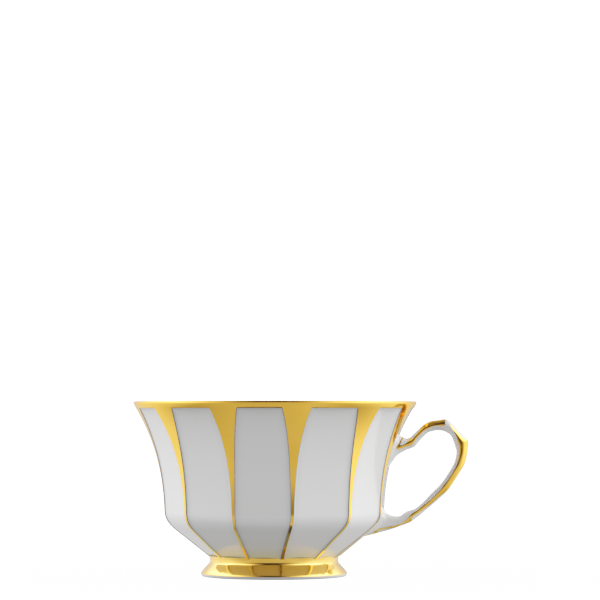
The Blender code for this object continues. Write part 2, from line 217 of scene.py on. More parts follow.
SPINE_BAND = (
    (10.3, 0.79, 0.82), (10.5, 0.72, 0.86), (11.0, 0.58, 0.83), (11.5, 0.47, 0.83),
    (12.0, 0.41, 0.84), (12.5, 0.34, 0.87), (13.0, 0.31, 1.0), (13.5, 0.28, 1.0),
    (14.5, 0.27, 1.0), (15.5, 0.31, 1.0), (16.5, 0.36, 1.0), (17.5, 0.4, 1.0),
    (18.3, 0.39, 1.0), (18.9, 0.36, 1.0),
)
LOWER_BAND = (
    (18.85, 0.36, 0.97), (19.5, 0.43, 0.87), (20.0, 0.47, 0.85), (20.5, 0.47, 0.84),
    (21.0, 0.4, 0.81), (21.5, 0.34, 0.73), (22.0, 0.33, 0.69), (22.5, 0.35, 0.68),
    (23.0, 0.4, 0.7), (23.4, 0.47, 0.72), (23.6, 0.5, 0.78), (24.0, 0.53, 0.98),
    (24.25, 0.56, 0.98), (24.5, 0.62, 0.95),
)
LOWER_EDGE = ((18.85, 0.96, 1.0), (20.5, 0.97, 1.0), (22.0, 0.97, 1.0), (23.7, 0.97, 1.0))
ROOT_BAND = (
    (24.5, 0.62, 0.95), (25.0, 0.66, 0.88), (25.5, 0.74, 0.91), (26.0, 0.76, 0.92),
    (26.5, 0.77, 0.94), (27.0, 0.77, 0.91), (27.5, 0.75, 0.87), (28.0, 0.77, 0.87),
    (28.4, 0.78, 0.87), (28.75, 0.8, 0.88),
)
ROOT_EDGE = ((29.0, 0.97, 1.0), (29.5, 0.978, 1.0), (30.0, 0.985, 1.0))
ROOT_ARM = ((0.8, 28.55, 28.8), (0.88, 28.7, 29.1), (0.95, 28.8, 29.2), (1.0, 28.85, 29.25))
PATCH_STEPS = 6
PATCH_COLUMNS = 16
MERGE_DISTANCE = 0.001 * MM

# Materials: each noise is (waves a metre, detail) and swings over NOISE_RANGE; each bump is
# (strength, height)
WHITE = (1.0, 1.0, 1.0)
NOISE_RANGE = (0.3, 0.7)
MOTTLING_NOISE = (60.0, 4.0)
MOTTLING = (0.985, 1.0)
GLAZE_POLISH_NOISE = (220.0, 2.0)
GLAZE_ROUGHNESS = (0.05, 0.09)
GLAZE_BUMP_NOISE = (260.0, 2.0)
GLAZE_BUMP = (0.12, 0.05 * MM)
GLAZE_IOR = 1.65
# Painted shade on the step wall beside the gilding, as a thin dark blue-grey edge
EDGE_SHADE_NOISE = (900.0, 3.0)
EDGE_SHADE_TONES = ((0.16, 0.175, 0.2), (0.24, 0.25, 0.27))
EDGE_SHADE_ROUGHNESS = 0.3

# Porcelain tones: painted shade beside the gilded borders (share of the reach, colour), painted
# light and shade by height on the bowl and foot (millimetres, factor), and of plain glaze
BORDER_SHADE_TONES = (
    (0.0, (0.52, 0.53, 0.54)),
    (0.12, (0.56, 0.57, 0.575)),
    (0.3, (0.615, 0.62, 0.622)),
    (0.6, (0.66, 0.663, 0.662)),
    (1.0, (0.68, 0.682, 0.678)),
)
PAINTED_LIGHT_TOP = 60.0 * MM
# Painted shade at the table, painted warm light off the foot, painted shade on the downward slope
# and under the rim
HEIGHT_LIGHT_AND_SHADE = (
    (0.0, (0.5, 0.51, 0.53)),
    (1.3, (0.62, 0.63, 0.65)),
    (7.0, (0.8, 0.82, 0.52)),
    (10.8, (0.83, 0.83, 0.8)),
    (17.0, (0.85, 0.85, 0.85)),
    (20.5, (0.97, 0.97, 0.97)),
    (22.0, (1.0, 1.0, 1.0)),
    (50.0, (1.0, 1.0, 1.0)),
    (54.5, (0.96, 0.96, 0.96)),
    (57.5, (0.9, 0.9, 0.9)),
    (59.0, (0.94, 0.94, 0.94)),
)
PLAIN_TONES = ((0.72, 0.72, 0.715), (0.74, 0.74, 0.737))
PLAIN_TONE_NOISE = (25.0, 2.0)

# Gold: its tones and polish, the gloss coat, and the painted light that pales the tones low down
GOLD_TONES = ((0.96, 0.48, 0.05), (1.0, 0.515, 0.068))
GOLD_TONE_NOISE = (90.0, 5.0)
GOLD_POLISH_NOISE = (400.0, 2.0)
GOLD_ROUGHNESS = (0.09, 0.15)
GOLD_BUMP_NOISE = (350.0, 2.0)
GOLD_BUMP = (0.1, 0.04 * MM)
GOLD_EDGE_TINT = (1.0, 0.85, 0.5)
COAT_IOR = 1.5
COAT_ROUGHNESS = 0.06
GOLD_COAT = 0.35
FOOT_COAT = 0.8
GOLD_PALE_SHARE = 0.5
STRIPE_PAINTED_LIGHT = (1.0, 1.5, 3.2)
FOOT_PAINTED_LIGHT = (1.0, 1.05, 1.2)

# Studio light as (degrees away from the camera side, brightness): level with the cup, then
# the bands above and below it, each faded in between two elevations in degrees
LEVEL_LIGHT = (
    (0, 0.12), (13, 0.14), (24, 0.25), (37, 0.62), (50, 1.15), (63, 1.9), (78, 2.5), (125, 2.6),
    (150, 1.5), (180, 0.6),
)
SOFTBOX_LIGHT = (
    (0, 0.03), (14, 0.04), (21, 0.3), (30, 0.9), (39, 1.9), (57, 4.8), (90, 8.0), (125, 6.0),
    (150, 2.0), (180, 0.8),
)
TABLE_LIGHT = ((0, 0.8), (30, 0.85), (60, 1.4), (85, 2.3), (125, 2.0), (180, 1.0))
NEAR_TABLE_LIGHT = ((0, 0.82), (25, 0.84), (42, 0.95), (60, 0.85), (85, 0.6), (180, 0.6))
CEILING_LIGHT = ((0, 0.08), (25, 0.15), (50, 0.3), (90, 0.4), (180, 0.4))
UNDER_CUP_SHARE = 0.14
UNDER_CUP_LIGHT = tuple((angle, level * UNDER_CUP_SHARE) for angle, level in NEAR_TABLE_LIGHT)
LIGHT_BANDS = (
    ((16, 26), SOFTBOX_LIGHT),
    ((38, 52), CEILING_LIGHT),
    ((-4, -20), TABLE_LIGHT),
    ((-18, -46), NEAR_TABLE_LIGHT),
    ((-64, -76), UNDER_CUP_LIGHT),
)
DARK_AZIMUTH = math.radians(1)
SIDE_LEAN = 0.11

# Table: its size, its tone, and the shade on it near the cup
TABLE_RADIUS = 30.0
TABLE_SEGMENTS = 96
TABLE_TONE = (0.9, 0.9, 0.9)
TABLE_ROUGHNESS = 0.8
TABLE_SHADE = 0.2
TABLE_SHADE_REACH = (30.0 * MM, 160.0 * MM)

# Film response, on the curve that all colours share: scene brightness and the brightness it
# prints as
COMBINED_CURVE = 3
FILM_WHITE = 4.0
FILM_CURVE = (
    (0.0, 0.0), (0.2, 0.195), (0.4, 0.37), (0.56, 0.47), (0.84, 0.61), (1.15, 0.735),
    (1.68, 0.88), (2.4, 0.973), (FILM_WHITE, 1.0),
)

# Camera: a long lens just below the height of the rim, a little to the handle's side
CAMERA_DISTANCE = 0.99
CAMERA_AZIMUTH = math.radians(5.5)
CAMERA_HEIGHT = 56.3 * MM
CAMERA_YAW = math.radians(0.51)
CAMERA_PITCH = math.radians(2.375)
CAMERA_LENS = 168.0
CAMERA_SENSOR = 36.0
CAMERA_CLIP = (0.01, 100.0)


# ---------------------------------------------------------------- mesh helpers

def soft_min(first, second, blend):
    """The smaller of two values, with the corner where they meet rounded over blend."""
    overlap = max(blend - abs(first - second), 0.0) / blend
    return min(first, second) - overlap * overlap * blend / 4


def polar(radius, angle, height):
    """A point by its distance from the axis, its direction and its height."""
    return Vector((radius * math.cos(angle), radius * math.sin(angle), height))


def catmull(before, start, end, after, share):
    """A smooth curve between two neighbouring values of a list."""
    pull = 0.5 * share
    return (
        start
        + pull * (end - before)
        + pull * share * (2 * before - 5 * start + 4 * end - after)
        + pull * share * share * (3 * start - before - 3 * end + after)
    )


def smooth_path(points, steps):
    """Points along a smooth curve through a list of points."""
    last = len(points) - 1
    path = []
    for index in range(last):
        near = [Vector(points[min(max(index + step, 0), last)]) for step in (-1, 0, 1, 2)]
        path += [catmull(*near, step / steps) for step in range(steps)]
    return path + [Vector(points[-1])]


def grid_faces(work, rows, wrap):
    """Quads between neighbouring rows of vertices, as a list of rows of faces."""
    faces = []
    for low, high in zip(rows, rows[1:]):
        count = len(low) if wrap else len(low) - 1
        after = [(here + 1) % len(low) for here in range(count)]
        faces.append([
            work.faces.new((low[i], low[after[i]], high[after[i]], high[i]))
            for i in range(count)
        ])
    return faces


def finish_mesh(name, work, sharp_degrees):
    """Turn the work mesh into a smooth-shaded mesh that keeps its real corners."""
    bmesh.ops.recalc_face_normals(work, faces=work.faces)
    mesh = bpy.data.meshes.new(name)
    work.to_mesh(mesh)
    work.free()
    mesh.shade_smooth()
    mesh.set_sharp_from_angle(angle=math.radians(sharp_degrees))
    return mesh


def add_rows(work, rows):
    """New vertices at rows of points."""
    return [[work.verts.new(point) for point in row] for row in rows]


def lofted(work, rings):
    """A closed body skinned over rings, with a cap at both ends; returns its grid and faces."""
    grid = add_rows(work, rings)
    faces = grid_faces(work, grid, True)
    work.faces.new(grid[0])
    work.faces.new(grid[-1])
    return grid, faces


def add_piece(name, mesh, materials, slot, *stands_for):
    """Put a mesh on the cup's axis, fixed to the cup, in the place of CAD nodes."""
    piece = bpy.data.objects.new(name, mesh)
    piece.location.x = AXIS_X
    bpy.context.scene.collection.objects.link(piece)
    for material in materials:
        mesh.materials.append(material)
    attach(piece, "root")
    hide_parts(*stands_for)
    return piece


def add_film(name, work, gold, *stands_for):
    """A film of gilding: an open surface raised off the body under it, with a crisp edge."""
    work.normal_update()
    for vertex in work.verts:
        vertex.co += vertex.normal * FILM_RISE
    for edge in work.edges:
        if edge.is_boundary:
            edge.smooth = False
    mesh = bpy.data.meshes.new(name)
    work.to_mesh(mesh)
    work.free()
    piece = add_piece(name, mesh, (gold,), "gold", *stands_for)
    mesh.shade_smooth()
    film = piece.modifiers.new("film", "SOLIDIFY")
    film.thickness = FILM_THICKNESS
    film.offset = -1.0


# ---------------------------------------------------------------- materials

class Nodes:
    """A short way to write node trees."""

    def __init__(self, tree):
        self.tree = tree
        tree.nodes.clear()

    def add(self, kind, **settings):
        node = self.tree.nodes.new(kind)
        for key, value in settings.items():
            setattr(node, key, value)
        return node

    def link(self, source, target):
        self.tree.links.new(source, target)

    def math(self, operation, *values):
        """A math node on numbers or sockets, as its output socket."""
        node = self.add("ShaderNodeMath", operation=operation)
        for socket, value in zip(node.inputs, values):
            self.put(value, socket)
        return node.outputs[0]

    def put(self, value, socket):
        """Link a socket, or set a number."""
        if isinstance(value, bpy.types.NodeSocket):
            self.link(value, socket)
        else:
            socket.default_value = value

    def noise(self, scale, detail):
        """Object-space noise around 0.5."""
        place = self.add("ShaderNodeTexCoord")
        node = self.add("ShaderNodeTexNoise")
        node.inputs["Scale"].default_value = scale
        node.inputs["Detail"].default_value = detail
        self.link(place.outputs["Object"], node.inputs["Vector"])
        return node.outputs["Fac"]

    def noise_span(self, noise, limits):
        """Noise spread over a range of values."""
        return self.span(self.noise(*noise), *NOISE_RANGE, *limits)

    def noise_tone(self, noise, tones):
        """Noise that drifts between two colours."""
        return self.ramp(self.noise(*noise), tuple(zip(NOISE_RANGE, tones)))

    def height_share(self, low, high):
        """Height on the cup as a share of the way from one height to another."""
        place = self.add("ShaderNodeTexCoord")
        split = self.add("ShaderNodeSeparateXYZ")
        self.link(place.outputs["Object"], split.inputs[0])
        return self.span(split.outputs["Z"], low, high, 0.0, 1.0)

    def span(self, value, low, high, new_low, new_high, kind="LINEAR"):
        """Map a value from one range to another, clamped."""
        node = self.add("ShaderNodeMapRange", interpolation_type=kind)
        for socket, item in zip(node.inputs, (value, low, high, new_low, new_high)):
            self.put(item, socket)
        return node.outputs[0]

    def ramp(self, value, stops):
        """A colour ramp with linear stops of (place, colour)."""
        node = self.add("ShaderNodeValToRGB")
        elements = node.color_ramp.elements
        while len(elements) < len(stops):
            elements.new(1.0)
        for element, (place, colour) in zip(elements, stops):
            element.position = place
            element.color = (*colour, 1.0)
        self.link(value, node.inputs["Fac"])
        return node.outputs["Color"]

    def multiplied(self, first, second):
        """Two colours multiplied, as an output socket."""
        node = self.add("ShaderNodeVectorMath", operation="MULTIPLY")
        self.link(first, node.inputs[0])
        self.link(second, node.inputs[1])
        return node.outputs[0]

    def scaled(self, colour, factor):
        """A colour times a number, as an output socket."""
        node = self.add("ShaderNodeVectorMath", operation="SCALE")
        self.link(colour, node.inputs[0])
        self.put(factor, node.inputs["Scale"])
        return node.outputs[0]

    def bump(self, noise, strength, distance):
        """A surface normal roughened by noise."""
        node = self.add("ShaderNodeBump")
        node.inputs["Strength"].default_value = strength
        node.inputs["Distance"].default_value = distance
        self.link(self.noise(*noise), node.inputs["Height"])
        return node.outputs["Normal"]

    def end_with_mix(self, kind, share, first, second):
        """End the tree in an output of a kind that shows two shaders mixed by a share."""
        mix = self.add("ShaderNodeMixShader")
        output = self.add(kind)
        self.link(share, mix.inputs["Fac"])
        self.link(first.outputs[0], mix.inputs[1])
        self.link(second.outputs[0], mix.inputs[2])
        self.link(mix.outputs[0], output.inputs["Surface"])


def new_material(name):
    """A material with an empty node tree."""
    material = bpy.data.materials.new(name)
    material.use_nodes = True
    return material, Nodes(material.node_tree)


def surface_material(name):
    """A material whose surface is one principled shader."""
    material, nodes = new_material(name)
    shader = nodes.add("ShaderNodeBsdfPrincipled")
    output = nodes.add("ShaderNodeOutputMaterial")
    nodes.link(shader.outputs[0], output.inputs["Surface"])
    return material, nodes, shader


def porcelain_material(name, tone_of):
    """White glazed porcelain; tone_of gives its base colour before the fine mottling."""
    material, nodes, shader = surface_material(name)
    mottling = nodes.noise_span(MOTTLING_NOISE, MOTTLING)
    roughness = nodes.noise_span(GLAZE_POLISH_NOISE, GLAZE_ROUGHNESS)
    nodes.link(nodes.scaled(tone_of(nodes), mottling), shader.inputs["Base Color"])
    nodes.link(roughness, shader.inputs["Roughness"])
    nodes.link(nodes.bump(GLAZE_BUMP_NOISE, *GLAZE_BUMP), shader.inputs["Normal"])
    shader.inputs["IOR"].default_value = GLAZE_IOR
    return material


def painted_light_by_height(nodes):
    """Factor by height, all painted light and shade: shade at the table, warm light off the foot,
    shade on the downward-facing slope and under the rim.
    """
    return nodes.ramp(nodes.height_share(0.0, PAINTED_LIGHT_TOP), [
        (level * MM / PAINTED_LIGHT_TOP, colour) for level, colour in HEIGHT_LIGHT_AND_SHADE
    ])


def bowl_painted_tone(nodes):
    """Painted shade beside the gilded borders, where the raised gilding shades the sunken panels,
    times the painted light and shade by height.
    """
    border = nodes.add("ShaderNodeAttribute", attribute_name="border_distance")
    # Painted shade: darkest at the border, gone at the reach
    reach = nodes.span(border.outputs["Fac"], 0.0, BORDER_SHADE_REACH, 0.0, 1.0)
    return nodes.multiplied(nodes.ramp(reach, BORDER_SHADE_TONES), painted_light_by_height(nodes))


def plain_tone(nodes):
    """Even white glaze with a slow drift of tone."""
    return nodes.noise_tone(PLAIN_TONE_NOISE, PLAIN_TONES)


def foot_painted_tone(nodes):
    """Plain glaze, with painted light and shade by height."""
    return nodes.multiplied(plain_tone(nodes), painted_light_by_height(nodes))


def edge_shade_material():
    """Painted shade: the thin blue-grey edge on the step wall where the glaze meets the gilding."""
    material, nodes, shader = surface_material("gilding_edge_shade")
    tone = nodes.noise_tone(EDGE_SHADE_NOISE, EDGE_SHADE_TONES)
    nodes.link(tone, shader.inputs["Base Color"])
    shader.inputs["Roughness"].default_value = EDGE_SHADE_ROUGHNESS
    return material


def gold_material(name, coat, painted_light):
    """Polished gilding, a little uneven in tone and in polish, under a gloss coat.

    Its tone is paler low down: painted light, in place of the light that body and foot throw on
    each other.
    """
    material, nodes, shader = surface_material(name)
    tone = nodes.noise_tone(GOLD_TONE_NOISE, GOLD_TONES)
    # Painted light: the gold is paler below the shoulder
    height = nodes.height_share(BODY_BOTTOM, SHOULDER_HEIGHT)
    gain = nodes.ramp(height, ((GOLD_PALE_SHARE, painted_light), (1.0, WHITE)))
    roughness = nodes.noise_span(GOLD_POLISH_NOISE, GOLD_ROUGHNESS)
    nodes.link(nodes.multiplied(tone, gain), shader.inputs["Base Color"])
    nodes.link(roughness, shader.inputs["Roughness"])
    nodes.link(nodes.bump(GOLD_BUMP_NOISE, *GOLD_BUMP), shader.inputs["Normal"])
    shader.inputs["Metallic"].default_value = 1.0
    shader.inputs["Specular Tint"].default_value = (*GOLD_EDGE_TINT, 1.0)
    shader.inputs["Coat Weight"].default_value = coat
    shader.inputs["Coat IOR"].default_value = COAT_IOR
    shader.inputs["Coat Roughness"].default_value = COAT_ROUGHNESS
    return material


# ---------------------------------------------------------------- body outline

def flare_share(height):
    """Share of the way from the shoulder to the rim, and 0 below the shoulder."""
    return max(height - SHOULDER_HEIGHT, 0.0) / FLARE_HEIGHT


def slope_radius(height):
    """Radius of the straight slope below the shoulder, at a corner."""
    return SLOPE_RADIUS + SLOPE_GRADE * (height - SLOPE_HEIGHT)


def corner_radius(height):
    """Radius of the body's corners: a sloping base, a shoulder and a flare to the rim."""
    rise = flare_share(height)
    flare = SHOULDER_RADIUS + FLARE_LINEAR * rise + FLARE_CURVED * rise ** FLARE_POWER
    return soft_min(flare, slope_radius(height), SHOULDER_BLEND)


def stripe_half_width(height):
    """Half the width of the gilded stripe, which spreads ever faster towards the rim."""
    rise = max(height - STRIPE_START, 0.0) / STRIPE_RISE
    low, high = STRIPE_POWERS
    return STRIPE_LINE + STRIPE_SPREAD * rise ** (low + (high - low) * rise)


def panel_distance(height):
    """Distance of a flat panel from the axis, before it is sunk."""
    radius = corner_radius(height)
    return radius * math.cos(PANEL_HALF_ANGLE - stripe_half_width(height) / radius)


def bowl_radius(height):
    """Radius of the round bowl inside the panelled wall."""
    upright = panel_distance(height) - WALL + WALL_TAPER * flare_share(height)
    slope = slope_radius(height) * math.cos(PANEL_HALF_ANGLE)
    return soft_min(upright, slope - SLOPE_WALL, BOWL_BLEND)


def sunk(distance):
    """How deep a panel lies at a distance from its border."""
    return PANEL_DEPTH * (1 - (1 - min(distance / PANEL_FILLET, 1.0)) ** 3)


def panel_offsets(half_width):
    """Columns across a panel: close together beside its borders, even between them."""
    near = [half_width - step for step in BORDER_STEPS]
    inner = near[-1]
    even = [inner * (2 * (i + 1) / (PANEL_COLUMNS + 1) - 1) for i in range(PANEL_COLUMNS)]
    return [-offset for offset in near] + even + near[::-1]


def rib_angle(number, height):
    """Direction of a corner at a height: each rib drifts, and all lean below the shoulder."""
    lean = max(SHOULDER_HEIGHT - height, 0.0) / (SHOULDER_HEIGHT - BODY_BOTTOM)
    even = (2 * number + 1) * PANEL_HALF_ANGLE
    return even + math.radians(RIB_DRIFT[number % PANELS] + RIB_LEAN * lean)


def body_ring(height):
    """One level of the outside as (point, distance to the nearest gilded border)."""
    radius = corner_radius(height)
    strip = stripe_half_width(height) / radius
    below_top = PANEL_TOP - height
    ring = []
    for number in range(PANELS):
        corner = rib_angle(number, height)
        following = rib_angle(number + 1, height)
        for column in range(STRIPE_COLUMNS + 1):
            turn = strip * (2 * column / STRIPE_COLUMNS - 1)
            ring.append((polar(radius, corner + turn, height), 0.0))
        half_angle = (following - corner) / 2 - strip
        flat = radius * math.cos(half_angle)
        half_width = radius * math.sin(half_angle)
        centre = (corner + following) / 2
        out = polar(1.0, centre, 0.0)
        along = polar(1.0, centre + math.pi / 2, 0.0)
        for offset in panel_offsets(half_width):
            border = min(half_width - abs(offset), below_top)
            depth = sunk(half_width - abs(offset)) * sunk(below_top) / PANEL_DEPTH
            point = out * (flat - depth) + along * offset
            ring.append((point + Vector((0, 0, height)), border / MM))
    return ring


def body_levels():
    """Heights of the outside's levels, closer together under the rim band."""
    near_top = [PANEL_TOP - step for step in BORDER_STEPS[::-1]]
    count = round((near_top[0] - BODY_BOTTOM) / LEVEL_STEP)
    step = (near_top[0] - BODY_BOTTOM) / count
    return [BODY_BOTTOM + step * i for i in range(count)] + near_top + [PANEL_TOP]


def round_ring(radius, height, pattern):
    """A round level whose points stand at the same angles as the pattern's."""
    return [polar(radius, math.atan2(point.y, point.x), height) for point in pattern]


def band_rings(top_ring):
    """The round rim band: the flare goes on to the lip, past a narrow ledge over each panel."""
    bottom = PANEL_TOP + LEDGE
    top = CUP_HEIGHT - LIP_RADIUS
    rings = []
    for step in range(BAND_STEPS + 1):
        share = step / BAND_STEPS
        height = bottom + (top - bottom) * share
        radius = corner_radius(height) + (RIM_RADIUS - corner_radius(top)) * share * share
        rings.append(round_ring(radius, height, top_ring))
    return rings


def lip_rings(top_ring):
    """Over the lip from the outer side to the inner side."""
    rings = []
    for step in range(1, 2 * LIP_STEPS + 1):
        turn = math.pi / 2 * step / LIP_STEPS
        outer = step <= LIP_STEPS
        middle = RIM_RADIUS - (LIP_RADIUS if outer else LIP_WALL - LIP_RADIUS)
        radius = middle + LIP_RADIUS * math.cos(turn)
        height = CUP_HEIGHT - LIP_RADIUS * (1 - math.sin(turn))
        rings.append(round_ring(radius, height, top_ring))
    return rings


def bowl_rings(top_ring):
    """The inside of the bowl from below the lip to the middle of its floor."""
    rings = []
    start = CUP_HEIGHT - GOLD_INSIDE
    stop = BOWL_FLOOR + BOWL_CORNER
    for step in range(BOWL_STEPS + 1):
        height = start + (stop - start) * step / BOWL_STEPS
        rings.append(round_ring(bowl_radius(height), height, top_ring))
    corner = bowl_radius(stop)
    for step in range(1, BOWL_CORNER_STEPS + 1):
        turn = math.pi / 2 * step / BOWL_CORNER_STEPS
        inward = BOWL_CORNER * BOWL_CORNER_STRETCH * (1 - math.cos(turn))
        height = BOWL_FLOOR + BOWL_CORNER * (1 - math.sin(turn))
        rings.append(round_ring(corner - inward, height, top_ring))
    rings.append(round_ring(BOWL_MIDDLE_RADIUS, BOWL_FLOOR - BOWL_MIDDLE_DIP, top_ring))
    return rings


def is_stripe_column(column):
    """True for the columns of faces that lie on a gilded stripe."""
    return column % COLUMNS_PER_PANEL < STRIPE_COLUMNS


def is_edge_shade_column(column):
    """True for the columns of faces right beside a gilded stripe, on the step wall, which take the
    painted shade.
    """
    across = column % COLUMNS_PER_PANEL - STRIPE_COLUMNS
    last = COLUMNS_PER_PANEL - STRIPE_COLUMNS - 1
    return 0 <= across < EDGE_SHADE_COLUMNS or last - EDGE_SHADE_COLUMNS < across <= last


def make_bowl(porcelain, outline):
    """The porcelain bowl as one closed body; returns the rings that the gilding follows."""
    levels = [body_ring(height) for height in body_levels()]
    outside = [[point for point, _ in level] for level in levels]
    top_ring = outside[-1]
    band = band_rings(top_ring)
    lip = lip_rings(top_ring)
    hollow = [
        round_ring(HOLLOW_TOP_RADIUS, BODY_BOTTOM + HOLLOW_RISE, top_ring),
        round_ring(HOLLOW_RADIUS, BODY_BOTTOM, top_ring),
    ]
    rings = hollow + outside + band + lip + bowl_rings(top_ring)
    work = bmesh.new()
    distance = work.verts.layers.float.new("border_distance")
    grid, faces = lofted(work, rings)
    for vertex in work.verts:
        vertex[distance] = FAR_FROM_BORDER
    for row, level in zip(grid[len(hollow):], levels):
        for vertex, (_, border) in zip(row, level):
            vertex[distance] = border
    for row in faces[len(hollow):len(hollow) + len(outside) - 1]:
        for column, face in enumerate(row):
            # Faces on the step wall beside each stripe take the painted shade
            if is_edge_shade_column(column):
                face.material_index = 1
    mesh = finish_mesh("bowl", work, BODY_SHARP)
    add_piece("bowl", mesh, (porcelain, outline), "porcelain", "cup_body")
    return outside, band, lip


def make_rim_gilding(gold, outside, band, lip):
    """One film of gold: twelve corner stripes that run up into the band over the lip."""
    gold_end = CUP_HEIGHT - GOLD_INSIDE
    inside = round_ring(bowl_radius(gold_end), gold_end, outside[-1])
    rings = outside + band + lip + [inside]
    work = bmesh.new()
    faces = grid_faces(work, add_rows(work, rings), True)
    for row in faces[:len(outside) - 1]:
        for column, face in enumerate(row):
            if not is_stripe_column(column):
                work.faces.remove(face)
    loose = [vertex for vertex in work.verts if not vertex.link_faces]
    bmesh.ops.delete(work, geom=loose, context="VERTS")
    bmesh.ops.recalc_face_normals(work, faces=work.faces)
    corners = [f"corner_gold_{number:02d}" for number in range(1, PANELS + 1)]
    add_film("rim_gilding", work, gold, "rim_gold", *corners)


# ---------------------------------------------------------------- foot

def turned_rows(outline):
    """Rings of the turned foot from its outline of (radius, height) points."""
    turns = [2 * math.pi * step / ROUND_STEPS for step in range(ROUND_STEPS)]
    drift = Vector((FOOT_DRIFT, 0.0, 0.0))
    return [[polar(radius, turn, height) + drift for turn in turns] for radius, height in outline]


def make_foot(porcelain, gold):
    """The waisted foot ring and the gilding around it."""
    waist = smooth_path(FOOT_WAIST, WAIST_STEPS)
    outline = waist + list(FOOT_BASE)
    work = bmesh.new()
    grid = add_rows(work, turned_rows(outline))
    grid_faces(work, grid + [grid[0]], True)
    mesh = finish_mesh("foot", work, BODY_SHARP)
    add_piece("foot", mesh, (porcelain,), "porcelain", "foot_ring")

    work = bmesh.new()
    faces = grid_faces(work, add_rows(work, turned_rows(waist)), True)
    face = faces[0][0]
    face.normal_update()
    if face.normal.dot(face.calc_center_median()) < 0:
        bmesh.ops.reverse_faces(work, faces=work.faces)
    add_film("foot_gilding", work, gold, "foot_gold")


# ---------------------------------------------------------------- handle

def handle_station(place):
    """Outer point, inner point, share of the widest point and half width along the handle."""
    last = len(HANDLE_STATIONS) - 1
    index = min(int(place), last - 1)
    share = place - index
    rows = [HANDLE_STATIONS[min(max(index + step, 0), last)] for step in (-1, 0, 1, 2)]
    values = [catmull(*numbers, share) for numbers in zip(*rows)]
    outer = Vector((values[0] * MM, 0.0, values[1] * MM))
    inner = Vector((values[2] * MM, 0.0, values[3] * MM))
    return outer, inner, values[4], values[5] * MM


def handle_point(place, share, side):
    """A point of the handle's oval section, by its share of the way to the outer edge."""
    outer, inner, ridge, width = handle_station(place)
    span = ridge if share < ridge else 1 - ridge
    bulge = math.sqrt(max(1 - ((share - ridge) / span) ** 2, 0.0))
    point = inner + (outer - inner) * share
    wall = panel_distance(point.z)
    gap = max(point.x - wall, 0.0)
    point.y = side * width * bulge * (1 + ROOT_FLARE * math.exp(-gap / ROOT_FILLET))
    point.x = max(point.x, wall - SEAT_DEPTH)
    return point


def share_of_turn(place, turn):
    """Share of a point of the section by its turn from the inner edge, 0 to pi."""
    ridge = handle_station(place)[2]
    turned = -math.cos(turn)
    return ridge + turned * (ridge if turned < 0 else 1 - ridge)


def turn_of_share(place, share):
    """Turn from the inner edge of a point of the section, by its share."""
    ridge = handle_station(place)[2]
    span = ridge if share < ridge else 1 - ridge
    return math.acos(min(max((ridge - share) / span, -1.0), 1.0))


def make_handle(porcelain):
    """The porcelain handle, whose ends sink into the panelled wall."""
    stations = len(HANDLE_STATIONS) - 1
    places = [i / STEPS_PER_STATION for i in range(stations * STEPS_PER_STATION + 1)]
    rings = []
    for place in places:
        shares = [share_of_turn(place, math.pi * step / SECTION_STEPS)
                  for step in range(SECTION_STEPS + 1)]
        near = [handle_point(place, share, 1) for share in shares]
        far = [handle_point(place, share, -1) for share in shares[-2:0:-1]]
        rings.append(near + far)
    work = bmesh.new()
    lofted(work, rings)
    mesh = finish_mesh("handle_body", work, HANDLE_SHARP)
    add_piece("handle_body", mesh, (porcelain,), "porcelain", "handle")


def evenly(start, end):
    """Evenly spaced values, one for each column of a patch."""
    return [start + (end - start) * column / PATCH_COLUMNS for column in range(PATCH_COLUMNS + 1)]


def band_row(place, start, end):
    """A row of points across the handle, as (place, share)."""
    turns = evenly(turn_of_share(place, start), turn_of_share(place, min(end, 1.0)))
    return [(place, share_of_turn(place, turn)) for turn in turns]


def arm_row(share, start, end):
    """A row of points along the handle, as (place, share)."""
    return [(place, min(share, 1.0)) for place in evenly(start, end)]


def add_patch(work, points, side):
    """One patch of gilding on one side of the handle, from its rows of (place, share)."""
    rows = [[handle_point(*point, side) for point in row] for row in points]
    faces = [face for row in grid_faces(work, add_rows(work, rows), False) for face in row]
    for face in faces:
        face.normal_update()
    middle = faces[len(faces) // 2]
    if middle.normal.y * side < 0:
        bmesh.ops.reverse_faces(work, faces=faces)


def make_handle_gilding(gold):
    """The gilding of the handle in its four stretches, the same on both sides."""
    stretches = (
        ("upper", (UPPER_BAND,), (UPPER_ARM,), ("thumb", "upper_left", "upper_right")),
        ("spine", (SPINE_BAND,), (), ("spine",)),
        ("lower", (LOWER_BAND, LOWER_EDGE), (), ("lower_left", "lower_right", "knot")),
        ("root", (ROOT_BAND, ROOT_EDGE), (ROOT_ARM,), ("root_left", "root_right")),
    )
    for name, bands, arms, nodes in stretches:
        work = bmesh.new()
        for side in (1, -1):
            for knots in bands:
                add_patch(work, [band_row(*knot) for knot in smooth_path(knots, PATCH_STEPS)], side)
            for knots in arms:
                add_patch(work, [arm_row(*knot) for knot in smooth_path(knots, PATCH_STEPS)], side)
        bmesh.ops.remove_doubles(work, verts=work.verts, dist=MERGE_DISTANCE)
        add_film(f"handle_gilding_{name}", work, gold, *(f"handle_gold_{node}" for node in nodes))


# ---------------------------------------------------------------- studio

